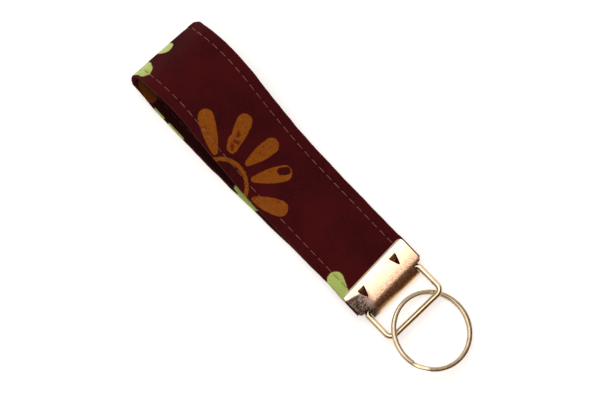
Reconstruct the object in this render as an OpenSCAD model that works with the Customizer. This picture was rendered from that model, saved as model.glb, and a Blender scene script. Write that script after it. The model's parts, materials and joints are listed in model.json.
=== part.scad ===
// Wristlet key fob: a stitched cotton strap folded into a loop, with both of its ends crimped
// in a folded sheet-metal clamp that carries a hinged wire bail and a two-turn split key ring.
// Millimetres. X runs across the strap, Y from the key ring to the fold, Z up from the table.
// The origin is under the middle of the whole fob's box.

/* [Strap] */
// Width of the finished strap
strap_w = 33.2; // [28:0.1:34]
// Thickness of one layer of the strap
strap_t = 2.2; // [1.8:0.1:2.6]
// Length that shows, from the clamp's mouth to the end of the fold
loop_len = 118.2; // [95:0.1:150]
// Height of the middle of the upper layer where the loop is widest
crown_z = 16.3; // [10:0.1:24]
// Height of the middle of the fold
fold_z = 7.6; // [4:0.1:10]
// Thickness of the stiffener inside the strap
core_t = 1; // [0.6:0.1:1.2]
// Width of the stiffener inside the strap
core_w = 30; // [22:0.1:31]

/* [Stitching] */
// Distance of each row of stitches from the strap's edge
stitch_inset = 4.1; // [2.5:0.05:5]
// Distance from one stitch to the next
stitch_pitch = 4.3; // [3:0.1:6]
// Length of one stitch
stitch_len = 3; // [2:0.1:4]
// Radius of the thread
thread_r = 0.15; // [0.1:0.01:0.2]

/* [Clamp] */
// Width of the clamp
clamp_w = 32.4; // [31.4:0.1:36]
// Length of the clamp's jaws, from the middle of the bend to the mouth
jaw_len = 12.15; // [11:0.05:14]
// Thickness of the sheet metal
sheet_t = 0.8; // [0.6:0.1:1]
// Distance of each tooth from the middle of the clamp
tooth_x = 8.8; // [6:0.1:10]
// Width of a tooth at its root
tooth_w = 3.9; // [2.4:0.1:4.2]
// Length of the window that a tooth is cut from
window_len = 5.5; // [4:0.1:6]

/* [Bail] */
// Radius of the bail's wire
wire_r = 1.2; // [1:0.05:1.25]
// Distance of each leg's middle from the middle of the clamp
leg_x = 13.9; // [13.8:0.05:14]
// Distance from the hinge to the middle of the cross bar
bail_len = 14; // [13.6:0.1:16]
// Radius of the wire's bend at the cross bar
corner_r = 2.8; // [2:0.1:3]

/* [Split ring] */
// Outer diameter of the ring
ring_d = 32.5; // [31:0.1:32.6]
// Width of the ring's flat wire
ring_band = 1.8; // [1.4:0.1:2]
// Thickness of one turn of the ring's wire
turn_t = 0.98; // [0.8:0.02:1]
// Distance from the bail's cross bar to the middle of the ring
ring_reach = 8.6; // [8.6:0.1:9]
// Angle that the ring leans over as it lies through the bail
ring_lean = 16.5; // [16.5:0.1:17.5]

/* [Hidden] */
$fn = 64;

layer_gap = 0.1;                                 // between the two layers in the clamp
needle_proud = 0.13;                             // how far an outer stitch stands proud
bobbin_proud = 0.03;                             // and an inner one
clamp_t = 2 * strap_t + layer_gap + 2 * sheet_t; // outer thickness of the clamp
hinge_z = clamp_t / 2;
mouth_y = jaw_len;
strap_end_y = wire_r + 0.4;                      // the strap's raw ends stop short of the hinge bar
lip_len = 1;                                     // the mouth's outer edge slopes down over this
lip_drop = 0.45;
mouth_corner_r = 2;

turn_gap = 0.08;                                 // between the ring's two turns
ring_z = ring_d / 2 * sin(ring_lean) + (turn_t + turn_gap / 2) * cos(ring_lean);
bail_pitch = asin((ring_z - hinge_z) / bail_len);
bar_y = -bail_len * cos(bail_pitch);
ring_y = bar_y - ring_reach;

fold_end_y = mouth_y + loop_len;
middle_y = (fold_end_y + ring_y - ring_d / 2) / 2;

// The strap's middle line in the plane Y, Z, from the lower raw end round to the upper one
lower_z = needle_proud + strap_t / 2;            // lower layer on the table, on its stitches
upper_z = lower_z + strap_t + layer_gap;         // upper layer where it lies on the lower one
fold_r = strap_t / 2 + 0.2;
fold_y = fold_end_y - fold_r - strap_t / 2;
fold_rise = [28, 40];                            // slopes of the lower and upper layers at the fold
settle_y = mouth_y + 11;                         // both layers come down from the clamp by here
lift_y = mouth_y + 0.66 * loop_len;              // the lower layer leaves the table here
part_y = mouth_y + 0.3 * loop_len;               // the upper layer leaves the lower one here
crown_y = mouth_y + 0.82 * loop_len;             // and is highest here

function jaw_z(side) = hinge_z + side * (strap_t + layer_gap) / 2;
function on_fold(angle) = [fold_y + fold_r * cos(angle), fold_z + fold_r * sin(angle)];
function bezier(a, b, c, d, steps) = [
    for (i = [0 : steps - 1])
        let (t = i / steps, u = 1 - t) u*u*u * a + 3*u*u*t * b + 3*u*t*t * c + t*t*t * d
];
function level_bend(from, to, reach, steps) =
    bezier(from, from + [reach, 0], to - [reach, 0], to, steps);
function reversed(list) = [for (i = [len(list) - 1 : -1 : 0]) list[i]];

lower_fold = -(90 - fold_rise[0]);
upper_fold = 90 - fold_rise[1];
lower_run = concat(
    [[strap_end_y, jaw_z(-1)], [mouth_y - 2, jaw_z(-1)]],
    level_bend([mouth_y, jaw_z(-1)], [settle_y, lower_z], 5, 8),
    [[settle_y, lower_z], [(settle_y + lift_y) / 2, lower_z]],
    bezier([lift_y, lower_z], [lift_y + 18, lower_z],
           on_fold(lower_fold) - 8 * [cos(fold_rise[0]), sin(fold_rise[0])],
           on_fold(lower_fold), 16)
);
upper_run = concat(
    [[strap_end_y, jaw_z(1)], [mouth_y - 2, jaw_z(1)]],
    level_bend([mouth_y, jaw_z(1)], [settle_y, upper_z], 5, 8),
    [[settle_y, upper_z], [(settle_y + part_y) / 2, upper_z]],
    bezier([part_y, upper_z], [part_y + 30, upper_z], [crown_y - 26, crown_z],
           [crown_y, crown_z], 20),
    bezier([crown_y, crown_z], [crown_y + 12, crown_z],
           on_fold(upper_fold) + 9 * [-cos(fold_rise[1]), sin(fold_rise[1])],
           on_fold(upper_fold), 16)
);
fold_arc = [for (i = [0 : 10]) on_fold(lower_fold + (upper_fold - lower_fold) * i / 10)];
strap_line = concat(lower_run, fold_arc, reversed(upper_run));

function along(line, i) =
    let (a = line[max(i - 1, 0)], b = line[min(i + 1, len(line) - 1)]) (b - a) / norm(b - a);
function shifted(line, by) = [
    for (i = [0 : len(line) - 1])
        let (d = along(line, i)) line[i] + by * [d[1], -d[0]]
];
function lengths(line) = [
    for (i = 0, s = 0; i < len(line);
         next = i + 1,
         sum = next < len(line) ? s + norm(line[next] - line[i]) : s,
         i = next, s = sum) s
];

// A flat strip of the given thickness and width that follows the strap's middle line
module strip(thickness, width) {
    rotate([90, 0, 90])
        linear_extrude(height = width, center = true)
            polygon(concat(shifted(strap_line, thickness / 2),
                           reversed(shifted(strap_line, -thickness / 2))));
}

// One thread's row of stitches, on the outer face (side 1) or the inner face (side -1)
module stitch_row(x, side, proud) {
    row = shifted(strap_line, side * strap_t / 2 + side * (proud - thread_r));
    at = lengths(row);
    total = at[len(at) - 1];
    from = jaw_len + 2;
    count = floor((total - 2 * from) / stitch_pitch);
    start = (total - count * stitch_pitch) / 2;
    for (k = [0 : count]) {
        s = start + k * stitch_pitch;
        hit = [for (i = [0 : len(at) - 2]) if (at[i] <= s && s < at[i + 1]) i];
        i = hit[0];
        step = row[i + 1] - row[i];
        p = row[i] + step * (s - at[i]) / (at[i + 1] - at[i]);
        if (p[0] < fold_y - 2)
            translate([x, p[0], p[1]])
                rotate([-90 + atan2(step[1], step[0]), 0, 0])
                    cylinder(r = thread_r, h = stitch_len, center = true);
    }
}

module in_frame() translate([0, -middle_y, 0]) children();

module fabric_sleeve() {
    color("#4a0f17") in_frame()
        difference() {
            strip(strap_t, strap_w);
            strip(core_t, core_w);
        }
}

module interfacing_core() {
    color("#e8e2d4") in_frame() strip(core_t, core_w);
}

module needle_thread(x) {
    color("#b98a6c") in_frame() stitch_row(x, 1, needle_proud);
}

module bobbin_thread(x) {
    color("#a87a5e") in_frame() stitch_row(x, -1, bobbin_proud);
}

stitch_x = strap_w / 2 - stitch_inset;
module needle_thread_left() needle_thread(-stitch_x);
module needle_thread_right() needle_thread(stitch_x);
module bobbin_thread_left() bobbin_thread(-stitch_x);
module bobbin_thread_right() bobbin_thread(stitch_x);

// The sheet of the clamp seen from its side: a U bend and two jaws with sloping lips
module clamp_side() {
    difference() {
        union() {
            translate([0, hinge_z]) circle(r = hinge_z);
            polygon([[0, 0], [mouth_y - lip_len, 0], [mouth_y, lip_drop],
                     [mouth_y, clamp_t - lip_drop], [mouth_y - lip_len, clamp_t], [0, clamp_t]]);
        }
        translate([0, hinge_z]) circle(r = hinge_z - sheet_t);
        translate([0, sheet_t]) square([2 * mouth_y, clamp_t - 2 * sheet_t]);
    }
}

module mouth_corner(side) {
    translate([side * (clamp_w / 2 - mouth_corner_r), mouth_y - mouth_corner_r, -1])
        linear_extrude(height = clamp_t + 2)
            difference() {
                translate([side > 0 ? 0 : -2 * mouth_corner_r, 0]) square(2 * mouth_corner_r);
                circle(r = mouth_corner_r);
            }
}

window_root_y = mouth_y - 2.7;                   // the edge that a tooth is folded down from
module window(x) {
    translate([x, 0, -1])
        linear_extrude(height = clamp_t + 2)
            polygon([[-tooth_w / 2, window_root_y], [tooth_w / 2, window_root_y],
                     [0, window_root_y - window_len]]);
}

tooth_bite = 1.9;                                // how far a tooth reaches into the strap
module tooth(x) {
    translate([x, window_root_y, 0])
        rotate([90, 0, 0])
            linear_extrude(height = sheet_t)
                polygon([[-tooth_w / 2, clamp_t], [tooth_w / 2, clamp_t],
                         [tooth_w / 2, clamp_t - sheet_t], [0, clamp_t - sheet_t - tooth_bite],
                         [-tooth_w / 2, clamp_t - sheet_t]]);
}

notch_gap = 0.3;                                 // between a leg and the end of the bend
notch_end_y = 0.1;                               // the bend is cut away up to here at its ends
module leg_notch(side) {
    from = leg_x - wire_r - notch_gap;
    translate([side > 0 ? from : -clamp_w, -hinge_z - 1, -1])
        cube([clamp_w - from, hinge_z + 1 + notch_end_y, clamp_t + 2]);
}

module clamp() {
    color("#d9b98a") in_frame() {
        difference() {
            rotate([90, 0, 90]) linear_extrude(height = clamp_w, center = true) clamp_side();
            for (side = [-1, 1]) {
                mouth_corner(side);
                window(side * tooth_x);
                leg_notch(side);
            }
        }
        for (side = [-1, 1]) {
            tooth(side * tooth_x);
            translate([0, 0, clamp_t]) mirror([0, 0, 1]) tooth(side * tooth_x);
        }
    }
}

// A quarter bend of the bail's wire about its own centre, from +X round to +Y
module wire_bend(r) {
    rotate_extrude(angle = 90) translate([r, 0]) circle(r = wire_r);
}

module wire_run(from, to) {
    d = to - from;
    translate([from[0], from[1], 0])
        rotate([0, 0, atan2(d[1], d[0])])
            rotate([0, 90, 0]) cylinder(r = wire_r, h = norm(d));
}

hinge_bend_r = 1.6;
butt_gap = 0.6;                                  // between the wire's two ends in the clamp
module bail() {
    color("#e3cfa4") in_frame()
        translate([0, 0, hinge_z]) rotate([-bail_pitch, 0, 0])
            for (side = [0, 1]) mirror([side, 0, 0]) {
                wire_run([butt_gap / 2, 0], [leg_x - hinge_bend_r, 0]);
                translate([leg_x - hinge_bend_r, -hinge_bend_r, 0]) wire_bend(hinge_bend_r);
                wire_run([leg_x, -hinge_bend_r], [leg_x, corner_r - bail_len]);
                translate([leg_x - corner_r, corner_r - bail_len, 0])
                    rotate([0, 0, -90]) wire_bend(corner_r);
                wire_run([leg_x - corner_r, -bail_len], [0, -bail_len]);
            }
}

// The ring's two turns lie on each other, and a short ramp takes the wire from the lower turn
// up to the upper one. Its two free ends stop just short of the ramp, one on each side.
ramp_from = 556;                                 // degrees along the wire, one turn on from 196
ramp_span = 24;
end_gap = 2;                                     // degrees between a free end and the ramp
ring_steps = 120;
first_end = ramp_from - 360 + ramp_span + end_gap;
last_end = ramp_from + 360 - end_gap;
wire_section = [[ring_d / 2 - ring_band, -turn_t / 2], [ring_d / 2, -turn_t / 2],
                [ring_d / 2, turn_t / 2], [ring_d / 2 - ring_band, turn_t / 2]];
function wire_level(angle) =
    let (t = min(1, max(0, (angle - ramp_from) / ramp_span)))
    sin(180 * (t - 0.5)) * (turn_t + turn_gap) / 2;

module split_ring() {
    last = 4 * ring_steps;
    points = [
        for (i = [0 : ring_steps])
            let (angle = first_end + (last_end - first_end) * i / ring_steps)
            for (c = wire_section)
                [c[0] * cos(angle), c[0] * sin(angle), c[1] + wire_level(angle)]
    ];
    sides = [
        for (i = [0 : ring_steps - 1]) for (k = [0 : 3])
            [4 * i + k, 4 * i + (k + 1) % 4, 4 * i + 4 + (k + 1) % 4, 4 * i + 4 + k]
    ];
    color("#e6d6ae") in_frame()
        translate([0, ring_y, ring_z]) rotate([0, ring_lean, 0])
            polyhedron(points, concat(sides, [[3, 2, 1, 0], [last, last + 1, last + 2, last + 3]]));
}

fabric_sleeve();
interfacing_core();
needle_thread_left();
needle_thread_right();
bobbin_thread_left();
bobbin_thread_right();
clamp();
bail();
split_ring();
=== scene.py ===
"""Wristlet key fob: the detailed pieces, materials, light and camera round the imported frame."""

import json
import math
from contextlib import contextmanager

import bmesh
import bpy
import numpy as np
from mathutils import Matrix, Vector, noise


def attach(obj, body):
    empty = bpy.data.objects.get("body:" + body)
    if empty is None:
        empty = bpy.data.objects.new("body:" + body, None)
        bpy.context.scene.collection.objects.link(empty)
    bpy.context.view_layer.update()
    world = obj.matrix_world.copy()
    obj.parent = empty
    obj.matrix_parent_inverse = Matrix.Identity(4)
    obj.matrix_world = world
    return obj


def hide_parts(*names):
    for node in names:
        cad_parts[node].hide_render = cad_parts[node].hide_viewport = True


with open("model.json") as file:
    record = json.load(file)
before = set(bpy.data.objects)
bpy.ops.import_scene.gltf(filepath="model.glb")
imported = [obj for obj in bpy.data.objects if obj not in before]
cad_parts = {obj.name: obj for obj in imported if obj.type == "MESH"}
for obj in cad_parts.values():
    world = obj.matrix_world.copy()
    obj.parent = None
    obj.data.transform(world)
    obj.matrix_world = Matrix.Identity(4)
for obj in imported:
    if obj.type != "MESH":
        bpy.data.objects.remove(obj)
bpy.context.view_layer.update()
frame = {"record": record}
MM = 0.001

# ---------------------------------------------------------------- dimensions, mm, as in part.scad
STRAP_W, STRAP_T, LOOP_LEN, CORE_T = 33.2, 2.2, 118.2, 1.0
CROWN_Z, FOLD_Z, LAYER_GAP, NEEDLE_PROUD = 16.3, 7.6, 0.1, 0.13
STITCH_INSET, STITCH_PITCH = 4.1, 4.3
CLAMP_W, JAW_LEN, SHEET_T = 32.4, 12.15, 0.8
TOOTH_X, TOOTH_W, WINDOW_LEN, WINDOW_SET = 8.8, 3.9, 5.5, 2.7
WIRE_R, LEG_X, BAIL_LEN, CORNER_R, HINGE_BEND_R, BUTT_GAP = 1.2, 13.9, 14.0, 2.8, 1.6, 0.6
RING_D, RING_BAND, TURN_T, TURN_GAP, RING_REACH, RING_LEAN = 32.5, 1.8, 0.98, 0.08, 8.6, 16.5
CLAMP_T = 2 * STRAP_T + LAYER_GAP + 2 * SHEET_T
HINGE_Z = CLAMP_T / 2
STITCH_X = STRAP_W / 2 - STITCH_INSET

# the same, where the visual pieces are finer or softer than the CAD's, mm
CORE_W, STITCH_LEN, THREAD_R = 28.8, 3.4, 0.1
EDGE_R = 0.95                                       # how far in from its edge the strap rounds
FOLD_CORNER_R = {"left": 1.2, "right": 2.3}         # of the strap's corners at the fold
BEND_Y = 2.8                                        # the jaws begin to close towards the bend here
BEVEL = 0.16
NOTCH_BACK = {-1: 1.1, 1: 0.5}                      # by side: square to the hinge once skewed
NOTCH_R, NOTCH_SIDE, WINDOW_R = 1.3, 0.3, 0.7
MOUTH_R = {-1: 0.9, 1: 2.0}                         # of the mouth's corners, one rounder
SKEW, SKEW_RISE, SET_BACK = 0.02, 0.03, 0.4         # the clamp, crimped out of square
NIP_X, NIP_W, NIP_Y, NIP_LEN, NIP_DEPTH = 8.5, 7.6, 7.5, 8.0, 0.3   # its nipped front corner

# the strap's way round, as in part.scad: mm past the mouth, shares of LOOP_LEN, slopes at the fold
RAW_END_Y = WIRE_R + 0.4                            # both raw ends stop behind the hinge's wire
SETTLE, FOLD_INNER_R, ROUTE_STEP = 11, 0.2, 0.42
PART_AT, LIFT_AT, CROWN_AT = 0.3, 0.66, 0.82
RISE_LOW, RISE_UP = math.radians(28), math.radians(40)

# the strap's softness, mm
SLEW_TOP, SLEW_LOW, SLEW_BACK = (0.9, 55, 96), (-2.25, 16, 98), (0.55, 112, 126)   # from y to y
SLEW_CROWN = (1.5, 109, 17)                         # how far, its middle y and its half width
ASKEW = 0.028                                       # of the fold, out of square
GROOVE, HOLE, BRIDGE, PUCKER = 0.17, 0.2, 0.12, 0.045   # along a row of stitches
MARGIN, PILLOW, INNER_SHARE = 0.13, 0.16, 0.45      # outside a row, between them, on the inner face
PUFF, PRESSED, SQUEEZED = 0.14, 0.32, 0.3           # by the mouth, at the raw ends, in the jaws
DENT, CORE_DENTS = 1.4, (1.1, 0.35)                 # under a tooth: the cloth, the core's faces
DENT_ACROSS, DENT_AT, DENT_ALONG = 1.5, 2.4, 1.9    # half width, from the tooth's root, half length
SEAM, SEAM_W = 0.42, 0.16                           # the groove along the open edge

joint_at = {
    j["name"]: Vector(j["pos_m"]) / MM for j in frame["record"]["behaviour"]["joints"]
}
HINGE = joint_at["bail_swing"]
BAR = joint_at["ring_swing"]
BAIL_PITCH = math.asin((BAR.z - HINGE.z) / BAIL_LEN)


# ---------------------------------------------------------------- small maths helpers
def smooth(x, low, high):
    """0 below low, 1 above high, with an eased step between."""
    t = np.clip((x - low) / (high - low), 0, 1)
    return t * t * (3 - 2 * t)


def bump(x, at, width):
    """1 at one place, falling away to nothing in about two widths."""
    return np.exp(-(((x - at) / width) ** 2))


def wander(x, seed, scale):
    """Smooth noise in -1..1 along one number."""
    return np.array([noise.noise(Vector((v / scale, seed, 0.37))) for v in x]) * 1.6


def bezier(a, b, c, d, steps):
    """Points on a cubic curve from a to d, without d itself."""
    t = np.linspace(0, 1, steps, endpoint=False)[:, None]
    a, b, c, d = (np.array(p, float) for p in (a, b, c, d))
    u = 1 - t
    return u**3 * a + 3 * u * u * t * b + 3 * u * t * t * c + t**3 * d


def new_object(name, verts, faces, scale=MM, smooth_shade=True):
    """An object in the scene from points in mm."""
    mesh = bpy.data.meshes.new(name)
    mesh.from_pydata([tuple(float(c) * scale for c in v) for v in verts], [], faces)
    mesh.validate()
    mesh.update()
    if smooth_shade:
        mesh.polygons.foreach_set("use_smooth", [True] * len(mesh.polygons))
    ob = bpy.data.objects.new(name, mesh)
    bpy.context.scene.collection.objects.link(ob)
    return ob


def grid_faces(rows, cols):
    """Quads of a tube: rows of cols points each, closed round, with its two ends capped."""
    faces = []
    for low in range(0, (rows - 1) * cols, cols):
        high = low + cols
        for j in range(cols):
            k = (j + 1) % cols
            faces.append((low + j, low + k, high + k, high + j))
    faces.append(tuple(range(cols))[::-1])
    faces.append(tuple((rows - 1) * cols + j for j in range(cols)))
    return faces


@contextmanager
def edited(ob):
    """An object's mesh to edit as a bmesh, written back at the end."""
    bm = bmesh.new()
    bm.from_mesh(ob.data)
    yield bm
    bm.to_mesh(ob.data)
    bm.free()


def outward(ob):
    """Turns every face of a closed mesh outwards."""
    with edited(ob) as bm:
        bmesh.ops.recalc_face_normals(bm, faces=bm.faces)
    return ob


# ---------------------------------------------------------------- the strap's middle line
def strap_route():
    """Points (y, z) from the lower raw end round the fold to the upper one, y from the hinge."""
    mouth, start = JAW_LEN, RAW_END_Y
    lower_z = NEEDLE_PROUD + STRAP_T / 2
    upper_z = lower_z + STRAP_T + LAYER_GAP
    low_jaw, up_jaw = (HINGE_Z + s * (STRAP_T + LAYER_GAP) / 2 for s in (-1, 1))
    fold_r = STRAP_T / 2 + FOLD_INNER_R
    fold_y = mouth + LOOP_LEN - fold_r - STRAP_T / 2
    settle, lift = mouth + SETTLE, mouth + LIFT_AT * LOOP_LEN
    part, crown = mouth + PART_AT * LOOP_LEN, mouth + CROWN_AT * LOOP_LEN
    arc = np.linspace(RISE_LOW - math.pi / 2, math.pi / 2 - RISE_UP, 40)
    on_fold = np.stack([fold_y + fold_r * np.cos(arc), FOLD_Z + fold_r * np.sin(arc)], 1)

    def straight(a, b, steps):
        third = (np.array(b) - a) / 3
        return bezier(a, a + third, b - third, b, steps)

    def bend(y0, z0, y1, z1, reach, steps):
        return bezier((y0, z0), (y0 + reach, z0), (y1 - reach, z1), (y1, z1), steps)

    lower = np.vstack([
        straight((start, low_jaw), (mouth, low_jaw), 20),
        bend(mouth, low_jaw, settle, lower_z, 5, 30),
        straight((settle, lower_z), (lift, lower_z), 120),
        bezier((lift, lower_z), (lift + 18, lower_z),
               on_fold[0] - 8 * np.array([math.cos(RISE_LOW), math.sin(RISE_LOW)]), on_fold[0],
               80),
    ])
    upper = np.vstack([
        straight((start, up_jaw), (mouth, up_jaw), 20),
        bend(mouth, up_jaw, settle, upper_z, 5, 30),
        straight((settle, upper_z), (part, upper_z), 60),
        bezier((part, upper_z), (part + 30, upper_z),
               (crown - 26, CROWN_Z), (crown, CROWN_Z), 110),
        bezier((crown, CROWN_Z), (crown + 12, CROWN_Z),
               on_fold[-1] - 9 * np.array([math.cos(RISE_UP), -math.sin(RISE_UP)]), on_fold[-1],
               80),
    ])
    line = np.vstack([lower, on_fold, upper[::-1]])
    at = np.concatenate([[0], np.cumsum(np.linalg.norm(np.diff(line, axis=0), axis=1))])
    even = np.linspace(0, at[-1], int(at[-1] / ROUTE_STEP))
    line = np.stack([np.interp(even, at, line[:, k]) for k in (0, 1)], 1)
    return even, line


ROUTE_S, ROUTE = strap_route()
ROUTE_D = np.gradient(ROUTE, axis=0)
ROUTE_D /= np.linalg.norm(ROUTE_D, axis=1)[:, None]
ROUTE_N = np.stack([ROUTE_D[:, 1], -ROUTE_D[:, 0]], 1)
TOTAL = ROUTE_S[-1]
HELD = JAW_LEN - RAW_END_Y                          # length of each end inside the jaws
FOLD_S = ROUTE_S[np.argmax(ROUTE[:, 0])]
STITCH_COUNT = int((TOTAL - 2 * (JAW_LEN - 0.6)) // STITCH_PITCH)
STITCH_START = (TOTAL - STITCH_COUNT * STITCH_PITCH) / 2


def strap_half_width(y, right):
    """The strap's half width at y from the hinge: its corners at the fold are rounded."""
    end = JAW_LEN + LOOP_LEN
    r = np.where(right, FOLD_CORNER_R["right"], FOLD_CORNER_R["left"])
    t = np.clip((r - (end - y)) / r, 0, 1)
    return STRAP_W / 2 - r * (1 - np.sqrt(1 - t * t)) * 0.8


def strap_shift(s, y):
    """How far the strap lies sideways: its two layers slew apart where the loop is open."""

    def slew(amount, start, end):
        return amount * smooth(y, start, end)

    crown, middle, width = SLEW_CROWN
    top = slew(*SLEW_TOP) + crown * bump(y, middle, width)
    low = slew(*SLEW_LOW) + slew(*SLEW_BACK)
    turn = smooth(s, FOLD_S - 2.5, FOLD_S + 2.5)
    return low * (1 - turn) + top * turn


def strap_relief(s, v, outer):
    """How far the cloth stands from its plain face: stitch grooves, puckers and soft pillows."""
    phase = (s - STITCH_START + STITCH_PITCH / 2) % STITCH_PITCH - STITCH_PITCH / 2
    row = np.abs(np.abs(v) - STITCH_X)
    holes = bump(phase, STITCH_LEN / 2, 0.4) + bump(phase, -STITCH_LEN / 2, 0.4)
    gap = bump(np.abs(phase), STITCH_PITCH / 2, 0.35)
    groove = -(GROOVE + HOLE * holes - BRIDGE * gap) * np.exp(-((row / 0.5) ** 2))
    pucker = PUCKER * np.cos(2 * np.pi * phase / STITCH_PITCH) * np.exp(-row / 1.6)
    outside = np.clip((np.abs(v) - STITCH_X) / STITCH_INSET, 0, 1)
    margin = MARGIN * np.sin(np.pi * outside) ** 0.8
    middle = PILLOW * (1 - np.exp(-row / 2.2)) * (np.abs(v) < STITCH_X)
    relief = groove + pucker + margin + middle
    return relief if outer else INNER_SHARE * relief - 0.03


def strap_frame(s):
    """Middle point, outward normal and sideways shift of the strap at each s, mm."""
    y, z = (np.interp(s, ROUTE_S, ROUTE[:, k]) for k in (0, 1))
    ny, nz = (np.interp(s, ROUTE_S, ROUTE_N[:, k]) for k in (0, 1))
    return y, z, ny, nz, strap_shift(s, y)


def in_jaws(s):
    """1 inside the jaws, falling to 0 just outside the mouth."""
    return 1 - smooth(np.minimum(s, TOTAL - s), HELD - 0.3, HELD + 2.2)


def strap_point(s, v, t):
    """Point at s along the strap, v across it and t out from its middle, in the frame, mm."""
    y, z, ny, nz, shift = strap_frame(s)
    half = strap_half_width(y, v > 0)
    askew = -ASKEW * v * smooth(y, JAW_LEN + 60, JAW_LEN + LOOP_LEN)
    x = v * half / (STRAP_W / 2) + shift
    return np.stack([x, HINGE.y + y + askew + t * ny, z + t * nz], -1)


def pierced(s, v):
    """1 where a tooth has pushed the cloth down, falling to 0 round it."""
    from_root = HELD - WINDOW_SET - np.minimum(s, TOTAL - s)
    return bump(np.abs(v), TOOTH_X, DENT_ACROSS) * bump(from_root, DENT_AT, DENT_ALONG)


def strap_face(s, v, outer, lift=0.0):
    """Point on the strap's outer or inner face, as the finished cloth has it."""
    s, v = np.broadcast_arrays(np.asarray(s, float), np.asarray(v, float))
    from_end = np.minimum(s, TOTAL - s)
    free = 1 - in_jaws(s)
    puff = PUFF * bump(from_end, HELD + 5, 3.5) if outer else 0.0
    pressed = -PRESSED * (1 - smooth(from_end, 0, 3.2))     # the bend closes on the raw ends
    dent = -DENT * pierced(s, v) if outer else 0.0
    t = STRAP_T / 2 + pressed + dent + free * (strap_relief(s, v, outer) + puff) + lift
    return strap_point(s, v, t if outer else -t)


def strap_section():
    """Round the strap's section: (v, edge angle or None, outer) for each point."""
    flat = STRAP_W / 2 - EDGE_R
    rows = np.sort(np.concatenate([
        np.linspace(-flat, flat, 46),
        *[side * STITCH_X + np.linspace(-0.75, 0.75, 7) for side in (-1, 1)],
    ]))
    turn = np.linspace(90, -90, 13)[1:-1]
    return (
        [(v, None, True) for v in rows]
        + [(flat, a, True) for a in turn]
        + [(v, None, False) for v in rows[::-1]]
        + [(-flat, a, False) for a in -turn]
    )


def make_strap():
    """The cotton: one closed skin, tagged with where each point lies on the cloth."""
    s = ROUTE_S
    columns, cloth = [], []

    def tagged(across, facing):
        """For the material: mm along, mm across, and 1 on the outer face to -1 on the inner."""
        return np.stack([s, np.full_like(s, across), np.full_like(s, facing)], 1)

    for v0, angle, outer in strap_section():
        if angle is None:
            p = strap_face(s, v0, outer)
            cloth.append(tagged(v0, 1.0 if outer else -1.0))
        else:
            side = 1 if v0 > 0 else -1
            a = math.radians(angle)
            top, low = strap_face(s, v0, True), strap_face(s, v0, False)
            mid, arm = (top + low) / 2, (top - low) / 2
            reach = EDGE_R * math.cos(a) ** 0.75
            if side < 0:                            # the open edge, where the two turned folds meet
                reach -= SEAM * math.exp(-((math.sin(a) / SEAM_W) ** 2))
            wave = 0.1 * wander(s, 3.1 + side, 6.5) + 0.06 * wander(s, 8.3 + side, 2.3)
            p = mid + arm * math.sin(a)
            squeezed = SQUEEZED * in_jaws(s)        # bulges out beside the clamp
            p[:, 0] += side * (reach + ((wave + 0.05) * (1 - in_jaws(s)) + squeezed) * math.cos(a))
            cloth.append(tagged(v0 + side * EDGE_R * (1 - math.sin(a) * 0.5), math.sin(a)))
        columns.append(p)
    pts = np.stack(columns, 1)
    # low, soft unevenness of the whole strip, none of it inside the jaws
    free = (1 - in_jaws(s)) * smooth(np.minimum(s, TOTAL - s), HELD, HELD + 25)
    pts[:, :, 2] += (0.12 * wander(s, 5.5, 21) * free)[:, None]
    height, rest = pts[:, :, 2], 0.02               # the underside lies flat on the table
    pts[:, :, 2] = np.where(height < rest, rest + (height - rest) * 0.1, height)
    rows, cols = pts.shape[:2]
    ob = new_object("strap_cloth", pts.reshape(-1, 3), grid_faces(rows, cols))
    tag = ob.data.attributes.new("cloth", "FLOAT_VECTOR", "POINT")
    tag.data.foreach_set("vector", np.stack(cloth, 1).reshape(-1))
    return outward(ob)


def make_core():
    """The stiffener, a flat strip that follows the strap inside its cloth."""
    s = ROUTE_S[::2]
    across = np.linspace(-1, 1, 45) * CORE_W / 2

    def face(v, t, dent):
        return strap_point(s, np.full_like(s, v), t - dent * pierced(s, v))

    top = [face(v, CORE_T / 2, CORE_DENTS[0]) for v in across]
    low = [face(v, -CORE_T / 2, CORE_DENTS[1]) for v in across[::-1]]
    pts = np.stack(top + low, 1)
    return outward(new_object("stiffener_strip", pts.reshape(-1, 3), grid_faces(*pts.shape[:2])))


def make_stitches(name, x, outer):
    """One row of stitches: each a short twisted thread that dives into the cloth at both ends."""
    verts, faces = [], []
    steps, sides = 15, 10
    for k in range(STITCH_COUNT + 1):
        at = STITCH_START + k * STITCH_PITCH
        jitter = noise.noise(Vector((k * 1.7, x, float(outer))))
        half = STITCH_LEN / 2 + 0.12 * jitter
        u = np.linspace(-1, 1, steps)
        s = at + u * (half + 0.12)
        sink = -0.42 * np.abs(u) ** 6 + (0.11 if outer else 0.02) * (1 - u**4)
        floor = strap_relief(s, np.full_like(s, x), outer)
        level = -0.13 - floor if outer else -0.08 - floor
        depth = level * np.where(np.abs(u) < 0.8, 0.85, 0.4)
        mid = strap_face(s, x + 0.05 * jitter * u, outer, lift=sink + depth)
        tangent = np.gradient(mid, axis=0)
        tangent /= np.linalg.norm(tangent, axis=1)[:, None]
        across = np.cross(tangent, (1.0, 0.0, 0.0))
        across /= np.linalg.norm(across, axis=1)[:, None]
        other = np.cross(tangent, across)
        base = len(verts)
        for i in range(steps):
            for j in range(sides):
                a = 2 * math.pi * j / sides
                twist = 2 * math.pi * (s[i] - at) / 1.1
                r = THREAD_R * (1 + 0.13 * math.cos(3 * a - twist)) * (1.0 - 0.25 * abs(u[i]) ** 4)
                verts.append(mid[i] + r * (math.cos(a) * across[i] + 1.15 * math.sin(a) * other[i]))
        faces += [tuple(base + q for q in f) for f in grid_faces(steps, sides)]
    return outward(new_object(name, verts, faces))


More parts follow.
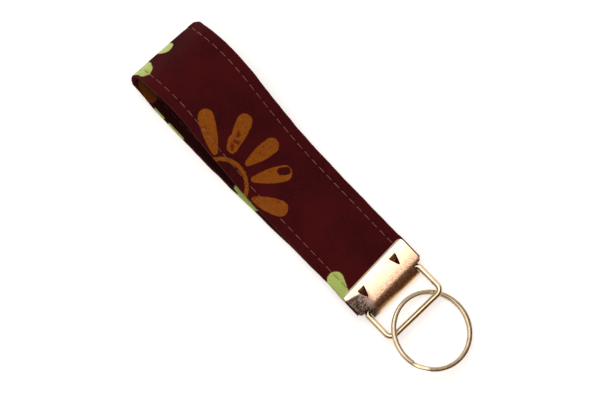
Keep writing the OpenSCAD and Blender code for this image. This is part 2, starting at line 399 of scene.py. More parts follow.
# ---------------------------------------------------------------- the clamp
def clamp_outline():
    """The folded sheet seen from its side, (y, z) from the hinge: outer face, then inner face."""
    def face(inset):
        h = HINGE_Z - inset
        out = []
        for a in np.radians(np.linspace(-90, 90, 61)):  # half an ellipse, lower jaw to upper one
            out.append((BEND_Y - (BEND_Y + h) * math.cos(a), h * math.sin(a)))
        jaw = [(y, h) for y in np.linspace(BEND_Y + 0.6, JAW_LEN - 1.9, 9)] + [(JAW_LEN - 1.25, h)]
        if inset:
            lip = [(JAW_LEN - 0.9, h), (JAW_LEN - 0.02, h - 0.06)]
        else:
            lip = [(JAW_LEN - 0.85, h - 0.06), (JAW_LEN - 0.5, h - 0.24), (JAW_LEN - 0.02, h - 0.5)]
        run = jaw + lip
        points = [(y, -z) for y, z in run[::-1]] + out + run
        return [(y, HINGE_Z + z) for y, z in points]

    return face(0) + face(SHEET_T)[::-1]


def prism(name, outline, low, high):
    """An upright prism over an outline in x, y, used as a cutter."""
    n = len(outline)
    verts = [(x, y, z) for z in (low, high) for x, y in outline]
    faces = [tuple(range(n))[::-1], tuple(range(n, 2 * n))]
    faces += [(i, (i + 1) % n, n + (i + 1) % n, n + i) for i in range(n)]
    return outward(new_object(name, verts, faces, smooth_shade=False))


def rounded(points, radius, steps=5):
    """A polygon's corners rounded off."""
    out, n = [], len(points)
    for i in range(n):
        p, a, b = (Vector(points[k % n]) for k in (i, i - 1, i + 1))
        da, db = (a - p).normalized(), (b - p).normalized()
        cut = radius / math.tan(da.angle(db) / 2)
        for k in range(steps + 1):
            t = k / steps
            q = (p + da * cut) * (1 - t) ** 2 + p * 2 * t * (1 - t) + (p + db * cut) * t**2
            out.append((q.x, q.y))
    return out


def apply_modifiers(ob):
    """Replaces an object's mesh with what its modifiers make of it."""
    bpy.context.view_layer.update()
    made = bpy.data.meshes.new_from_object(ob.evaluated_get(bpy.context.evaluated_depsgraph_get()))
    old = ob.data
    ob.modifiers.clear()
    made.name = old.name
    ob.data = made
    bpy.data.meshes.remove(old)


def make_tooth(x, lower):
    """A triangular tab that bends from the sheet at its window's root down into the strap."""
    root = JAW_LEN - WINDOW_SET
    r, slope, run = 0.75, math.radians(36), 3.3
    path = [(root + 0.25, 0.0)] + [
        (root + 0.05 - r * math.sin(a), -r * (1 - math.cos(a))) for a in np.linspace(0, slope, 7)
    ]
    path += [(path[-1][0] - k * math.cos(slope), path[-1][1] - k * math.sin(slope))
             for k in np.linspace(run / 5, run, 5)]
    path = [(y, CLAMP_T - SHEET_T / 2 - 0.02 + z) for y, z in path]
    verts, n = [], len(path)
    for i, (y, z) in enumerate(path):
        d = Vector(path[min(i + 1, n - 1)]) - Vector(path[max(i - 1, 0)])
        d.normalize()
        nx = Vector((-d.y, d.x)) * (SHEET_T / 2 - 0.03)
        w = (TOOTH_W / 2 - 0.06) * (1 - 0.7 * i / (n - 1))
        for side, up in ((-1, 1), (1, 1), (1, -1), (-1, -1)):
            verts.append((x + side * w, y + up * nx.x, z + up * nx.y))
    if lower:
        verts = [(a, b, 2 * HINGE_Z - c) for a, b, c in verts]
    verts = [(a, b + HINGE.y, c) for a, b, c in verts]
    return verts, grid_faces(n, 4)


def clamp_cutters():
    """Cutters: the teeth's windows, the notches for the bail's legs, the mouth's corners."""
    half, root, cutters = CLAMP_W / 2, JAW_LEN - WINDOW_SET, []

    def cut(name, outline_xy):
        points = [(x, y + HINGE.y) for x, y in outline_xy]
        cutters.append(prism(name, points, -2, CLAMP_T + 2))

    def corner(side, r, centre_y, turn, steps):
        return [(side * (half - r + r * math.cos(a)), centre_y + r * math.sin(a))
                for a in np.linspace(0, turn, steps)]

    for side in (-1, 1):
        x, w = side * TOOTH_X, TOOTH_W / 2
        cut("cut_window", rounded([(x - w, root), (x + w, root), (x, root - WINDOW_LEN)], WINDOW_R))
        inner, reach, back = LEG_X - WIRE_R - NOTCH_SIDE, half + 3, NOTCH_BACK[side]
        front = -HINGE_Z - 2
        cut("cut_notch", [
            (side * inner, front), (side * reach, front), (side * reach, back + NOTCH_R),
            *corner(side, NOTCH_R, back + NOTCH_R, -math.pi / 2, 7),
            (side * (inner + 0.5), back), (side * (inner + 0.15), back - 0.15),
            (side * inner, back - 0.5)])
        r = MOUTH_R[side]
        cut("cut_corner", [
            (side * (half + 1), JAW_LEN - r), *corner(side, r, JAW_LEN - r, math.pi / 2, 9),
            (side * (half - r), JAW_LEN + 1), (side * (half + 1), JAW_LEN + 1)])
    return cutters


def subtract(ob, cutters):
    """Cuts the cutters out of an object, and deletes them."""
    for c in cutters:
        mod = ob.modifiers.new("cut", "BOOLEAN")
        mod.operation, mod.solver, mod.object = "DIFFERENCE", "EXACT", c
    apply_modifiers(ob)
    for c in cutters:
        bpy.data.objects.remove(c)


def grid_cuts(bm):
    """Cuts a grid through the clamp, which keeps its shading even and lets it be crimped."""
    half = CLAMP_W / 2
    for axis, low, high, count in (
        (0, 0.5 - half, half - 0.5, 32), (1, HINGE.y - 2, HINGE.y + JAW_LEN - 1.5, 13),
    ):
        for at in np.linspace(low, high, count):
            point, normal = Vector(), Vector()
            point[axis], normal[axis] = at * MM, 1.0
            geom = bm.verts[:] + bm.edges[:] + bm.faces[:]
            bmesh.ops.bisect_plane(bm, geom=geom, dist=1e-7, plane_co=point, plane_no=normal)


def crimp(v):
    """Moves one of the clamp's points: the sheet is out of square, one front corner nipped."""
    x, y, z = v.co.x / MM, v.co.y / MM - HINGE.y, v.co.z / MM
    nip = max(0.0, (-x - NIP_X) / NIP_W) * max(0.0, (NIP_Y - y) / NIP_LEN)
    upper = min(1.0, max(0.0, (z - HINGE_Z) / 1.5))
    v.co.z -= NIP_DEPTH * min(nip, 1.0) ** 1.4 * MM * upper
    v.co.y += (x * (SKEW + SKEW_RISE * y / JAW_LEN) - SET_BACK) * MM


def make_clamp():
    """The end clamp: a folded sheet with its windows, notches and lanced teeth."""
    outline = clamp_outline()
    xs = np.linspace(-CLAMP_W / 2, CLAMP_W / 2, 29)
    verts = [(x, y + HINGE.y, z) for x in xs for y, z in outline]
    faces = grid_faces(len(xs), len(outline))
    ob = outward(new_object("clamp_shell", verts, faces, smooth_shade=False))
    subtract(ob, clamp_cutters())
    with edited(ob) as bm:
        bmesh.ops.remove_doubles(bm, verts=bm.verts, dist=0.00001)
        bmesh.ops.dissolve_limit(
            bm, angle_limit=math.radians(0.6), verts=bm.verts, edges=bm.edges)
    mod = ob.modifiers.new("edges", "BEVEL")
    mod.width, mod.segments, mod.use_clamp_overlap = BEVEL * MM, 3, True
    mod.limit_method, mod.angle_limit = "ANGLE", math.radians(32)
    apply_modifiers(ob)
    with edited(ob) as bm:
        grid_cuts(bm)
        for side in (-1, 1):
            for lower in (False, True):
                points, faces = make_tooth(side * TOOTH_X, lower)
                made = [bm.verts.new(Vector(p) * MM) for p in points]
                for f in faces:
                    bm.faces.new([made[i] for i in f])
        bmesh.ops.recalc_face_normals(bm, faces=bm.faces)
        for v in bm.verts:
            crimp(v)
    ob.data.polygons.foreach_set("use_smooth", [True] * len(ob.data.polygons))
    ob.data.set_sharp_from_angle(angle=math.radians(38))
    mod = ob.modifiers.new("normals", "WEIGHTED_NORMAL")
    mod.keep_sharp = True
    return ob


# ---------------------------------------------------------------- wire work
def sweep(name, path, section, ups, ends=0.0):
    """A closed section swept along a path; ends rounds both ends over that many mm."""
    path, ups = np.asarray(path, float), np.asarray(ups, float)
    d = np.gradient(path, axis=0)
    d /= np.linalg.norm(d, axis=1)[:, None]
    side = np.cross(d, ups)
    side /= np.linalg.norm(side, axis=1)[:, None]
    up = np.cross(side, d)
    section = np.asarray(section, float)
    rings = [(path[i], side[i], up[i], 1.0) for i in range(len(path))]
    if ends:
        rings[0] = (path[0] + d[0] * ends, *rings[0][1:])
        rings[-1] = (path[-1] - d[-1] * ends, *rings[-1][1:])

        def taper(i, inwards, out):
            """Rings that shrink towards the path's end point i, out from 0 to 1 on the way."""
            return [(path[i] + inwards * ends * (1 - k), side[i], up[i], 1 - 0.55 * k**3)
                    for k in out]

        rings = taper(0, d[0], (1.0, 0.66, 0.33)) + rings + taper(-1, -d[-1], (0.33, 0.66, 1.0))
    verts = [p + k * (c[0] * a + c[1] * b) for p, a, b, k in rings for c in section]
    ob = new_object(name, verts, grid_faces(len(rings), len(section)))
    return outward(ob)


def circle(r, sides=28):
    """A round section for a wire."""
    angles = (2 * math.pi * k / sides for k in range(sides))
    return [(r * math.cos(a), r * math.sin(a)) for a in angles]


def quarter(cx, cy, r, a0, a1, steps=14):
    """Points on an arc, its angles in degrees."""
    return [(cx + r * math.cos(math.radians(a)), cy + r * math.sin(math.radians(a)))
            for a in np.linspace(a0, a1, steps)]


def make_bail():
    """The bail's wire from one butted end round to the other, turned up by its pitch."""
    leg, h, c, low = LEG_X, HINGE_BEND_R, CORNER_R, -BAIL_LEN
    half = [(BUTT_GAP / 2, 0), (BUTT_GAP / 2 + 0.3, 0)]
    half += [(x, 0) for x in np.linspace(1.6, leg - h - 0.2, 12)]
    half += quarter(leg - h, -h, h, 90, 0)
    half += [(leg, y) for y in np.linspace(-h - 0.4, low + c + 0.4, 14)]
    half += quarter(leg - c, low + c, c, 0, -90)
    half += [(x, low) for x in np.linspace(leg - c - 0.4, 0.8, 12)]
    flat = half + [(-x, y) for x, y in half[::-1]]
    pts = []
    for x, y in flat:
        pts.append((x, HINGE.y + y * math.cos(BAIL_PITCH), HINGE.z - y * math.sin(BAIL_PITCH)))
    ups = [(0, math.sin(BAIL_PITCH), math.cos(BAIL_PITCH))] * len(pts)
    return sweep("bail_wire", pts, circle(WIRE_R), ups, ends=0.25)


def make_ring():
    """Two turns of flat wire: lower turn, a short ramp between the turns, upper turn."""
    ramp_from, span, gap = 556.0, 24.0, 2.0         # degrees
    first, last = ramp_from - 360 + span + gap, ramp_from + 360 - gap
    angles = np.linspace(first, last, 420)
    t = np.clip((angles - ramp_from) / span, 0, 1)
    level = np.sin(np.pi * (t - 0.5)) * (TURN_T + TURN_GAP) / 2
    mid_r = RING_D / 2 - RING_BAND / 2
    lean = Matrix.Rotation(math.radians(RING_LEAN), 3, "Y")
    centre = Vector((0, BAR.y - RING_REACH, BAR.z))
    up = lean @ Vector((0, 0, 1))
    pts = []
    for a, z in zip(np.radians(angles), level):
        pts.append(centre + lean @ Vector((mid_r * math.cos(a), mid_r * math.sin(a), z)))
    w, h, r = RING_BAND / 2, TURN_T / 2, 0.44
    section = []
    for sx, sy, a0 in ((1, 1, 0), (-1, 1, 90), (-1, -1, 180), (1, -1, 270)):
        section += quarter(sx * (w - r), sy * (h - r), r, a0, a0 + 90, 5)
    return sweep("split_ring_wire", pts, section, [up] * len(pts), ends=0.22)


# ---------------------------------------------------------------- materials
MIX_T, MIX_A, MIX_B, MIX_OUT = 0, 6, 7, 2           # the Mix node's sockets for colours


class Nodes:
    """Short calls for building one material's node tree."""

    def __init__(self, name):
        self.mat = bpy.data.materials.new(name)
        self.mat.use_nodes = True
        self.tree = self.mat.node_tree
        self.shader = self.tree.nodes["Principled BSDF"]

    def add(self, kind, **values):
        node = self.tree.nodes.new(kind)
        for k, v in values.items():
            setattr(node, k, v)
        return node

    def put(self, socket, value):
        if isinstance(value, bpy.types.NodeSocket):
            self.tree.links.new(value, socket)
        else:
            socket.default_value = value

    def math(self, op, a, b=0.0, c=0.0, clamp=False):
        node = self.add("ShaderNodeMath", operation=op, use_clamp=clamp)
        for socket, value in zip(node.inputs, (a, b, c)):
            self.put(socket, value)
        return node.outputs[0]

    def ramp(self, x, low, high, a=0.0, b=1.0):
        node = self.add("ShaderNodeMapRange", interpolation_type="SMOOTHSTEP")
        keys = ("Value", "From Min", "From Max", "To Min", "To Max")
        for key, value in zip(keys, (x, low, high, a, b)):
            self.put(node.inputs[key], value)
        return node.outputs[0]

    def mix(self, t, a, b):
        node = self.add("ShaderNodeMix", data_type="RGBA")
        for i, value in ((MIX_T, t), (MIX_A, a), (MIX_B, b)):
            self.put(node.inputs[i], value)
        return node.outputs[MIX_OUT]

    def noise(self, vector, scale, detail=3.0, rough=0.55):
        node = self.add("ShaderNodeTexNoise")
        keys = ("Vector", "Scale", "Detail", "Roughness")
        for key, value in zip(keys, (vector, scale, detail, rough)):
            self.put(node.inputs[key], value)
        return node.outputs["Fac"]

    def bump(self, height, strength, distance, under=None):
        node = self.add("ShaderNodeBump")
        for key, value in (("Height", height), ("Strength", strength), ("Distance", distance)):
            self.put(node.inputs[key], value)
        if under is not None:
            self.put(node.inputs["Normal"], under)
        return node.outputs["Normal"]

    def object_mm(self):
        """Position in mm in the object's own frame."""
        node = self.add("ShaderNodeTexCoord")
        scale = self.add("ShaderNodeVectorMath", operation="SCALE")
        self.put(scale.inputs[0], node.outputs["Object"])
        self.put(scale.inputs["Scale"], 1000.0)
        return scale.outputs[0]

    def split(self, vector):
        node = self.add("ShaderNodeSeparateXYZ")
        self.put(node.inputs[0], vector)
        return node.outputs

    def join(self, x, y, z):
        node = self.add("ShaderNodeCombineXYZ")
        for socket, value in zip(node.inputs, (x, y, z)):
            self.put(socket, value)
        return node.outputs[0]

    def root_of_squares(self, a, b):
        squares = self.math("ADD", self.math("MULTIPLY", a, a), self.math("MULTIPLY", b, b))
        return self.math("SQRT", squares)

    def weave(self, a, b, yarn):
        """A plain weave's height, -1 to 1, with one yarn in every so many mm."""
        k = math.pi / yarn
        waves = [self.math("SINE", self.math("MULTIPLY", x, k)) for x in (a, b)]
        return self.math("MULTIPLY", *waves)

    def set(self, **values):
        for key, value in values.items():
            self.put(self.shader.inputs[key.replace("_", " ")], value)


def srgb(r, g, b):
    """A linear colour from the three values, 0 to 255, that a screen shows."""
    def lin(c):
        c /= 255
        return c / 12.92 if c <= 0.04045 else ((c + 0.055) / 1.055) ** 2.4

    return (lin(r), lin(g), lin(b), 1.0)


# The print: mm along the cloth from the mouth of the upper layer, mm across. A spot is a line's
# two ends and the radius at each.
FLOWER = (63.6, -21.9, 10.9)                        # centre and the radius of its inner line
FLOWER_LINE = 0.8                                   # half that line's width
PETALS = (                                          # each from its narrow end to its round one
    (75.2, -14.5, 87.1, -8.8), (70.9, -9.0, 75.8, 1.8), (62.9, -7.3, 61.5, 3.9),
    (56.4, -9.7, 49.9, 0.7), (50.3, -14.8, 40.8, -9.9),
)
PETAL_R, PETAL_BELLY = (1.25, 3.2), 0.6
PETAL_BULGE = (71.9, -7.9, 72.9, -5.9, 2.4, 2.8)    # the second petal swells by its narrow end
PETAL_OVAL = (51.3, 0.3, 49.9, 2.1, 1.55, 1.6)      # left unprinted near the fourth one's tip
PETAL_INSIDE = (126.0, -12.5, 131.5, -14.5, 2.6, 3.2)   # another, inside the loop by the fold
UNDER_U = 122.8                                     # the flower repeats beyond this, underneath
SPOILED = (                                         # where the orange has missed
    (73.6, -3.6, 74.5, -2.3, 0.7, 0.4), (71.6, -5.3, 73.0, -5.9, 0.7, 0.6),
    (72.1, -7.9, 71.0, -8.7, 0.8, 0.5),
)
GREEN_OUTER = (
    (-0.5, -15.8, 5.4, -13.5, 2.9, 3.3),
    (118.5, -12.4, 122.0, -12.0, 3.1, 4.2), (121.1, 0.0, 123.6, 0.2, 3.2, 3.6),
    (136.0, 12.5, 146.0, 12.2, 3.4, 4.0), (214.0, -11.5, 226.0, -12.4, 3.8, 3.3),
)
GREEN_INNER = (
    (183.4, -13.9, 190.4, -14.9, 3.0, 3.6),
    (137.4, -17.3, 141.2, -17.3, 1.0, 1.0), (145.5, -17.2, 152.2, -17.3, 1.0, 1.0),
    (30.0, 11.0, 39.0, 12.0, 3.4, 3.9), (84.0, -2.0, 92.0, 1.0, 3.3, 3.8),
)
PRINT_EDGE = 0.16                                   # half the width over which an edge fades
YARN_MM, WEB_MM = 0.36, 0.5                         # one yarn of the cotton, of the stiffener

# the cotton's colours: each pair is its dark yarns and its light ones
MAROON, MAROON_CLOUD = (srgb(48, 5, 10), srgb(72, 12, 16)), srgb(80, 14, 18)
ORANGE, ORANGE_WORN = (srgb(132, 68, 12), srgb(168, 94, 22)), srgb(84, 34, 12)
ORANGE_RUBBED, ORANGE_MISSED = srgb(104, 42, 16), srgb(98, 26, 12)
GREEN, GREEN_WORN = (srgb(166, 188, 90), srgb(198, 218, 132)), srgb(120, 130, 60)
GREEN_PALE, GREEN_HALO = srgb(226, 232, 184), srgb(120, 62, 22)
# the first: painted shade, a near-black for the cloth's inner face in the shade inside the loop
INNER_FACE_PAINTED_SHADE, EDGE_RUBBED = srgb(12, 3, 4), srgb(126, 52, 48)

# thread, stiffener and metal: each pair is dark or bright, in the order that its material says
NEEDLE_THREAD = srgb(124, 60, 50), srgb(186, 122, 106)
BOBBIN_THREAD = srgb(58, 18, 18), srgb(92, 36, 32)
STIFFENER = srgb(222, 214, 196), srgb(240, 235, 224)
SHEET_GILT = srgb(248, 223, 203), srgb(241, 211, 186)
WIRE_GILT = srgb(210, 193, 165), srgb(196, 176, 144)
# the second of these: brown freckles, painted thicker towards the clamp's bend as part of its
# painted shade
PLATING_SPECK, BEND_FRECKLE_SHADE = srgb(150, 112, 78), srgb(150, 96, 62)
# painted on the clamp: shade pinker towards its bend, an amber reflection along its front, shade
# inside its windows
BEND_PAINTED_SHADE, FRONT_PAINTED_REFLECTION, WINDOW_PAINTED_SHADE = srgb(228, 190, 158), srgb(228, 194, 148), srgb(186, 150, 104)
# painted reflection, dark and tan, of a dark thing in the clamp's plating by one front corner
CORNER_REFLECTION_DARK, CORNER_REFLECTION_TAN = srgb(24, 13, 11), (srgb(112, 94, 84), srgb(160, 137, 127))


def print_masks(n, u, v, face, rough_edge):
    """Where the print is: 1 on the outer face, on orange, on missed orange, on green, by green."""
    wobble = n.math("MULTIPLY", n.math("SUBTRACT", rough_edge, 0.5), 0.55)

    def inked(distance):
        return n.ramp(distance, PRINT_EDGE, -PRINT_EDGE)

    def blob(x0, y0, x1, y1, r0, r1, belly=0.0):
        """Distance to a line from one round end to another, negative inside."""
        length = math.hypot(x1 - x0, y1 - y0)
        cx, cy = (x1 - x0) / length, (y1 - y0) / length
        px, py = n.math("SUBTRACT", u, x0), n.math("SUBTRACT", v, y0)
        along = n.math("ADD", n.math("MULTIPLY", px, cx), n.math("MULTIPLY", py, cy))
        over = n.math("SUBTRACT", n.math("MULTIPLY", py, cx), n.math("MULTIPLY", px, cy))
        t = n.math("DIVIDE", along, length, clamp=True)
        rest = n.math("SUBTRACT", along, n.math("MULTIPLY", t, length))
        far = n.root_of_squares(rest, over)
        radius = n.math("MULTIPLY_ADD", t, r1 - r0, r0)
        if belly:
            fuller = n.math("MULTIPLY", t, n.math("SUBTRACT", 1.0, t))
            radius = n.math("MULTIPLY_ADD", fuller, 4 * belly, radius)
        return n.math("ADD", n.math("SUBTRACT", far, radius), wobble)

    def flower(cu, cv, ring, petals):
        far = n.root_of_squares(n.math("SUBTRACT", u, cu), n.math("SUBTRACT", v, cv))
        off_ring = n.math("ABSOLUTE", n.math("SUBTRACT", far, ring))
        d = n.math("MULTIPLY_ADD", wobble, 1.8, n.math("SUBTRACT", off_ring, FLOWER_LINE))
        for petal in petals:
            d = n.math("MINIMUM", d, blob(*petal, *PETAL_R, PETAL_BELLY))
        return d

    def spots(rows):
        d = blob(*rows[0])
        for row in rows[1:]:
            d = n.math("MINIMUM", d, blob(*row))
        return d

    outer = n.ramp(face, -0.2, 0.2)
    main = n.math("MINIMUM", flower(*FLOWER, PETALS), blob(*PETAL_BULGE))
    main = n.math("MAXIMUM", main, n.math("MULTIPLY", blob(*PETAL_OVAL), -1.0))
    fu, fv = 2 * UNDER_U, -FLOWER[1]
    turned = [(fu - a, -b, fu - c, -d) for a, b, c, d in PETALS]
    under = flower(fu - FLOWER[0], fv, FLOWER[2], turned)
    orange = n.math("MULTIPLY", inked(n.math("MINIMUM", main, under)), outer)
    inside = n.math("MULTIPLY", n.math("SUBTRACT", 1.0, outer), inked(blob(*PETAL_INSIDE)))
    orange = n.math("MAXIMUM", orange, inside)
    missed = n.ramp(spots(SPOILED), 0.3, -0.2)
    by_face = [n.join(spots(rows), 0.0, 0.0) for rows in (GREEN_INNER, GREEN_OUTER)]
    green_d = n.split(n.mix(outer, *by_face))[0]
    return outer, orange, missed, inked(green_d), n.ramp(green_d, 0.75, 0.1)


def cloth_material():
    """Printed cotton: the print worn and uneven over maroon, in a plain weave."""
    n = Nodes("printed_cotton")
    tag = n.add("ShaderNodeAttribute", attribute_name="cloth", attribute_type="GEOMETRY")
    s, v, face = n.split(tag.outputs["Vector"])
    u = n.math("SUBTRACT", TOTAL - HELD, s)         # mm along the cloth from the upper mouth
    flat = n.join(u, v, 0.0)
    rough_edge = n.noise(flat, 1.1, 2.0)
    outer, orange, missed, green, by_green = print_masks(n, u, v, face, rough_edge)

    def yarns(along, across, seed):
        return n.noise(n.join(n.math("MULTIPLY", u, along), n.math("MULTIPLY", v, across), seed),
                       1.9, 2.0)

    slub = n.math("MULTIPLY_ADD", yarns(0.35, 2.6, 0.0), 0.5,
                  n.math("MULTIPLY", yarns(2.6, 0.35, 4.0), 0.5))
    grain = n.noise(flat, 4.2, 2.0, 0.7)
    cloud = n.noise(flat, 0.055, 3.0)
    worn = n.math("MULTIPLY", n.ramp(n.noise(flat, 2.5, 2.0, 0.75), 0.5, 0.68), 0.8)
    rubbed = n.math("MULTIPLY", n.ramp(n.noise(flat, 0.5, 3.0, 0.65), 0.55, 0.72), 0.8)

    ground = n.mix(n.ramp(slub, 0.32, 0.68), *MAROON)
    ground = n.mix(n.ramp(cloud, 0.35, 0.7), ground, n.mix(0.6, ground, MAROON_CLOUD))
    orange_c = n.mix(worn, n.mix(n.ramp(slub, 0.3, 0.72), *ORANGE), ORANGE_WORN)
    orange_c = n.mix(rubbed, orange_c, ORANGE_RUBBED)
    orange_c = n.mix(n.math("MULTIPLY", missed, 0.8), orange_c, ORANGE_MISSED)
    green_c = n.mix(n.math("MULTIPLY", worn, 0.45),
                    n.mix(n.ramp(slub, 0.3, 0.72), *GREEN), GREEN_WORN)
    by_fold = n.math("MULTIPLY", n.ramp(u, 117.0, 122.0, 0.0, 0.5), outer)
    green_c = n.mix(by_fold, green_c, GREEN_PALE)

    halo = n.math("MULTIPLY", by_green, n.ramp(rough_edge, 0.42, 0.6))
    colour = n.mix(n.math("MULTIPLY", halo, 0.55), ground, GREEN_HALO)
    colour = n.mix(orange, colour, orange_c)
    # painted shade: the whole inner face darkened towards near-black, for the shade inside the loop
    inner = n.math("SUBTRACT", 1.0, outer)
    colour = n.mix(n.math("MULTIPLY", inner, 0.6), colour, INNER_FACE_PAINTED_SHADE)
    colour = n.mix(green, colour, green_c)
    # rubbed paler along its turned edges
    rim = n.ramp(n.math("ABSOLUTE", v), STRAP_W / 2 - 0.7, STRAP_W / 2 + 0.2)
    rim = n.math("MULTIPLY", rim, n.ramp(grain, 0.42, 0.66))
    colour = n.mix(n.math("MULTIPLY", rim, 0.35), colour, EDGE_RUBBED)

    weave = n.math("MULTIPLY_ADD", n.weave(u, v, YARN_MM), 0.5, n.math("MULTIPLY", slub, 1.2))
    n.set(Base_Color=colour, Roughness=0.88, Specular_IOR_Level=0.08)
    n.set(Sheen_Weight=0.04, Sheen_Roughness=0.5)
    n.set(Sheen_Tint=(0.8, 0.62, 0.6, 1.0))
    n.set(Normal=n.bump(weave, 0.55, 0.00007, n.bump(grain, 0.25, 0.00012)))
    return n.mat


def thread_material(name, dim, light):
    """Twisted polyester, its shade uneven along the row."""
    n = Nodes(name)
    at = n.object_mm()
    fibre = n.noise(at, 7.0, 2.0, 0.7)
    shade = n.noise(at, 0.22, 2.0)
    colour = n.mix(n.ramp(fibre, 0.3, 0.7), dim, light)
    colour = n.mix(n.ramp(shade, 0.4, 0.65, 0.0, 0.55), colour, dim)
    n.set(Base_Color=colour, Roughness=0.55, Specular_IOR_Level=0.4)
    n.set(Sheen_Weight=0.25, Sheen_Roughness=0.35)
    n.set(Normal=n.bump(fibre, 0.5, 0.00004))
    return n.mat


def core_material():
    """Woven white stiffener."""
    n = Nodes("stiffener")
    at = n.object_mm()
    x, y = n.split(at)[:2]
    over = n.weave(x, y, WEB_MM)
    fluff = n.noise(at, 2.5, 4.0)
    n.set(Base_Color=n.mix(fluff, *STIFFENER), Roughness=0.9)
    n.set(Normal=n.bump(n.math("ADD", over, fluff), 0.6, 0.00012))
    return n.mat


def sheet_painted_light(n, at, colour):
    """Painted shade and painted reflections over the clamp's plain colour, and the mask of its
    painted corner reflection.
    """
    x, y, z = n.split(at)
    ahead = n.math("SUBTRACT", y, HINGE.y)          # from the hinge towards the mouth
    ahead = n.math("MULTIPLY_ADD", x, -SKEW, ahead)
    blur = n.math("MULTIPLY", n.math("SUBTRACT", n.noise(at, 0.9, 3.0), 0.5), 2.2)
    blurred = n.math("ADD", ahead, blur)
    # painted shade: pinker, with brown freckles painted in thicker, towards the bend; a painted
    # amber reflection of the floor along its very front
    colour = n.mix(n.ramp(blurred, 9.5, 3.2, 0.0, 0.85), colour, BEND_PAINTED_SHADE)
    fleck = n.ramp(n.noise(at, 1.5, 3.0, 0.85), 0.44, 0.56)
    bend_freckle_shade = n.math("MULTIPLY", n.ramp(blurred, 4.9, 2.0), fleck)
    colour = n.mix(n.math("MULTIPLY", bend_freckle_shade, 0.7), colour, BEND_FRECKLE_SHADE)
    front = n.ramp(ahead, -2.0, -2.7)
    colour = n.mix(n.math("MULTIPLY", front, 0.8), colour, FRONT_PAINTED_REFLECTION)
    # painted reflection: a dark thing's reflection, freckled dark and tan, round the nipped front
    # corner
    outward_x = n.math("MULTIPLY_ADD", blur, 0.6, n.math("MULTIPLY_ADD", ahead, -0.15, x))
    back_y = n.math("MULTIPLY_ADD", blur, 0.4, n.math("MULTIPLY_ADD", x, 0.28, ahead))
    corner_reflection = n.math("MULTIPLY", n.ramp(outward_x, -7.6, -10.2), n.ramp(back_y, 5.1, 4.2))
    corner_reflection = n.math("MULTIPLY", corner_reflection, n.ramp(z, HINGE_Z - 1.0, HINGE_Z + 0.6))
    inward = n.ramp(x, -14.5, -9.0)
    freckles = n.math("MULTIPLY_ADD", inward, 0.1, n.noise(at, 1.1, 2.0, 0.9))
    dark = n.mix(n.ramp(freckles, 0.45, 0.61), CORNER_REFLECTION_DARK, n.mix(inward, *CORNER_REFLECTION_TAN))
    colour = n.mix(n.math("MULTIPLY", corner_reflection, 0.95), colour, dark)
    # painted shade: inner faces, cut edges and teeth in the middle of the jaws darker where they
    # lie inside the clamp and its windows
    from_middle = n.math("ABSOLUTE", n.math("SUBTRACT", z, HINGE_Z))
    shaded_inside = n.ramp(from_middle, HINGE_Z - 0.3, HINGE_Z - 0.8)
    shaded_inside = n.math("MULTIPLY", shaded_inside, n.ramp(ahead, BEND_Y - 1.0, BEND_Y + 0.5))
    shaded_inside = n.math("MULTIPLY", shaded_inside, n.ramp(n.math("ABSOLUTE", x), 13.0, 12.0))
    return n.mix(n.math("MULTIPLY", shaded_inside, 0.9), colour, WINDOW_PAINTED_SHADE), corner_reflection


def metal_material(name, base, deep, rough, grain, sheet=False):
    """Pale gold plating with a fine orange peel; a formed sheet gets painted shade and reflections,
    and is rougher across its painted corner reflection.
    """
    n = Nodes(name)
    at = n.object_mm()
    peel = n.noise(at, 3.6, 2.0, 0.6)
    speck = n.noise(at, 8.0, 2.0, 0.8)
    cloud = n.noise(at, 0.3, 2.0)
    colour = n.mix(n.ramp(cloud, 0.4, 0.66), base, deep)
    colour = n.mix(n.ramp(speck, 0.6, 0.74, 0.0, 0.25), colour, PLATING_SPECK)
    height = n.math("MULTIPLY_ADD", speck, 0.35, peel)
    roughness = n.math("MULTIPLY_ADD", speck, 0.1, rough - 0.08)
    roughness = n.math("MULTIPLY_ADD", cloud, 0.06, roughness)
    if sheet:
        # painted shade and reflections; the sheet is rougher across its painted corner reflection
        colour, corner_reflection = sheet_painted_light(n, at, colour)
        roughness = n.math("MULTIPLY_ADD", corner_reflection, 0.25, roughness)
    n.set(Base_Color=colour, Metallic=1.0, Roughness=roughness)
    n.set(Normal=n.bump(height, grain, 0.00004))
    return n.mat


def floor_material():
    """A white table, lit up enough to lose its horizon."""
    n = Nodes("studio_floor")
    n.set(Base_Color=(0.86, 0.86, 0.86, 1.0), Roughness=0.75, Specular_IOR_Level=0.2)
    n.set(Emission_Color=(1.0, 1.0, 1.0, 1.0), Emission_Strength=0.5)
    return n.mat


def dress(ob, mat):
    """Gives an object one material."""
    ob.data.materials.clear()
    ob.data.materials.append(mat)


# ---------------------------------------------------------------- the pieces
cotton, stiffener = cloth_material(), core_material()
thread = thread_material("sewing_thread", *NEEDLE_THREAD)
under_thread = thread_material("bobbin_thread", *BOBBIN_THREAD)
gilt_sheet = metal_material("gilt_sheet", *SHEET_GILT, rough=0.22, grain=0.2, sheet=True)
gilt_wire = metal_material("gilt_wire", *WIRE_GILT, rough=0.2, grain=0.1)

strap = make_strap()
dress(strap, cotton)
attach(strap, "strap")
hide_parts("fabric_sleeve")

for row, x, outer in (
    ("needle_thread_left", -STITCH_X, True), ("needle_thread_right", STITCH_X, True),
    ("bobbin_thread_left", -STITCH_X, False), ("bobbin_thread_right", STITCH_X, False),
):
    piece = make_stitches(row + "_stitches", x, outer)
    dress(piece, thread if outer else under_thread)
    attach(piece, "strap")
    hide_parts(row)

core = make_core()
dress(core, stiffener)
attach(core, "strap")
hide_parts("interfacing_core")

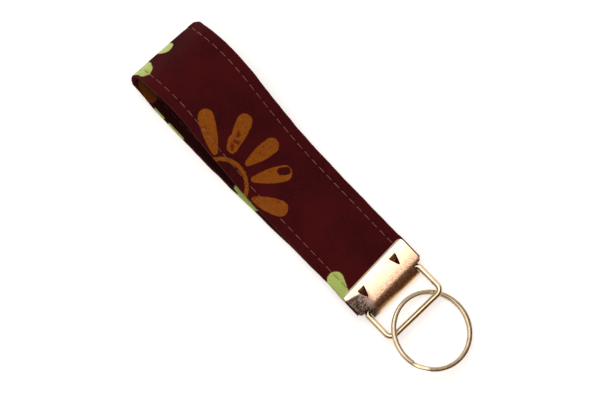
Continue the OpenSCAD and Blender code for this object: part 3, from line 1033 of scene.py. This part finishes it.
for make, node, body, mat, slot in (
    (make_clamp, "clamp", "strap", gilt_sheet, "gilt_sheet"),
    (make_bail, "bail", "bail_link", gilt_wire, "gilt_wire"),
    (make_ring, "split_ring", "key_ring", gilt_wire, "gilt_wire"),
):
    piece = make()
    dress(piece, mat)
    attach(piece, body)
    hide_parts(node)

# ---------------------------------------------------------------- floor, light and camera
corners = [(-2, -2, 0), (2, -2, 0), (2, 2, 0), (-2, 2, 0)]      # metres
floor = new_object("floor", corners, [(0, 1, 2, 3)], scale=1.0)
floor.location.z = -0.00005
dress(floor, floor_material())


def area_light(name, at, towards, size, power, colour=(1, 1, 1)):
    """A rectangular light; places and sizes in metres, power in watts."""
    data = bpy.data.lights.new(name, "AREA")
    data.shape, data.energy, data.color = "RECTANGLE", power, colour
    data.size, data.size_y = size
    ob = bpy.data.objects.new(name, data)
    ob.location = at
    ob.rotation_euler = (Vector(towards) - Vector(at)).to_track_quat("-Z", "Y").to_euler()
    bpy.context.scene.collection.objects.link(ob)


area_light("softbox", (0.02, 0.17, 0.68), (0.02, 0.17, 0), (0.9, 0.66), 2.9, (1.0, 0.985, 0.96))
area_light("side_fill", (0.7, 0.1, 0.35), (0, 0, 0), (0.5, 0.4), 0.7)

world = bpy.data.worlds.new("studio")
bpy.context.scene.world = world
world.use_nodes = True
wt = world.node_tree
coord = wt.nodes.new("ShaderNodeTexCoord")
parts = wt.nodes.new("ShaderNodeSeparateXYZ")
wt.links.new(coord.outputs["Generated"], parts.inputs[0])


def world_fade(axis, low, high):
    """0 to 1 over the room's directions, along one axis."""
    fade = wt.nodes.new("ShaderNodeMapRange")
    fade.interpolation_type = "SMOOTHSTEP"
    fade.inputs["From Min"].default_value, fade.inputs["From Max"].default_value = low, high
    wt.links.new(parts.outputs[axis], fade.inputs["Value"])
    return fade.outputs[0]


def world_mix(t, dark, light):
    """From dark to light, each a colour or a socket."""
    tone = wt.nodes.new("ShaderNodeMix")
    tone.data_type = "RGBA"
    wt.links.new(t, tone.inputs[MIX_T])
    for socket, value in ((tone.inputs[MIX_A], dark), (tone.inputs[MIX_B], light)):
        if isinstance(value, tuple):
            socket.default_value = value
        else:
            wt.links.new(value, socket)
    return tone.outputs[MIX_OUT]


# a white room, dim and brown low down and on the side that the clamp's bend faces
LOW_BROWN, HIGH_WHITE, FRONT_BROWN = (
    (0.20, 0.145, 0.09, 1), (0.64, 0.61, 0.57, 1), (0.125, 0.065, 0.034, 1))
room = world_mix(world_fade("Z", 0.1, 0.62), LOW_BROWN, HIGH_WHITE)
sky = world_mix(world_fade("Y", -0.18, 0.25), FRONT_BROWN, room)
wt.links.new(sky, wt.nodes["Background"].inputs["Color"])

# The camera looks down at the fob, with its upright turned so that the strap runs corner to corner
EYE = Vector((-43.7, -43.5, 600.7)) * MM
FOCAL_PX, IMAGE_W, SENSOR_MM = 1527.6, 612, 36
TURN = np.radians([-5.91, -0.02, -0.03])            # tilt away from looking straight down
base = Matrix(((0.724, -0.690, 0), (0.690, 0.724, 0), (0, 0, 1)))
spin = Matrix.Rotation(float(np.linalg.norm(TURN)), 3, Vector(TURN).normalized())
cam_data = bpy.data.cameras.new("camera")
cam_data.sensor_width = SENSOR_MM
cam_data.lens = FOCAL_PX / IMAGE_W * SENSOR_MM
cam_data.clip_start = 0.01
camera = bpy.data.objects.new("camera", cam_data)
camera.matrix_world = Matrix.Translation(EYE) @ (spin @ base).transposed().to_4x4()
bpy.context.scene.collection.objects.link(camera)
bpy.context.scene.camera = camera
bpy.context.scene.view_settings.view_transform = "Standard"
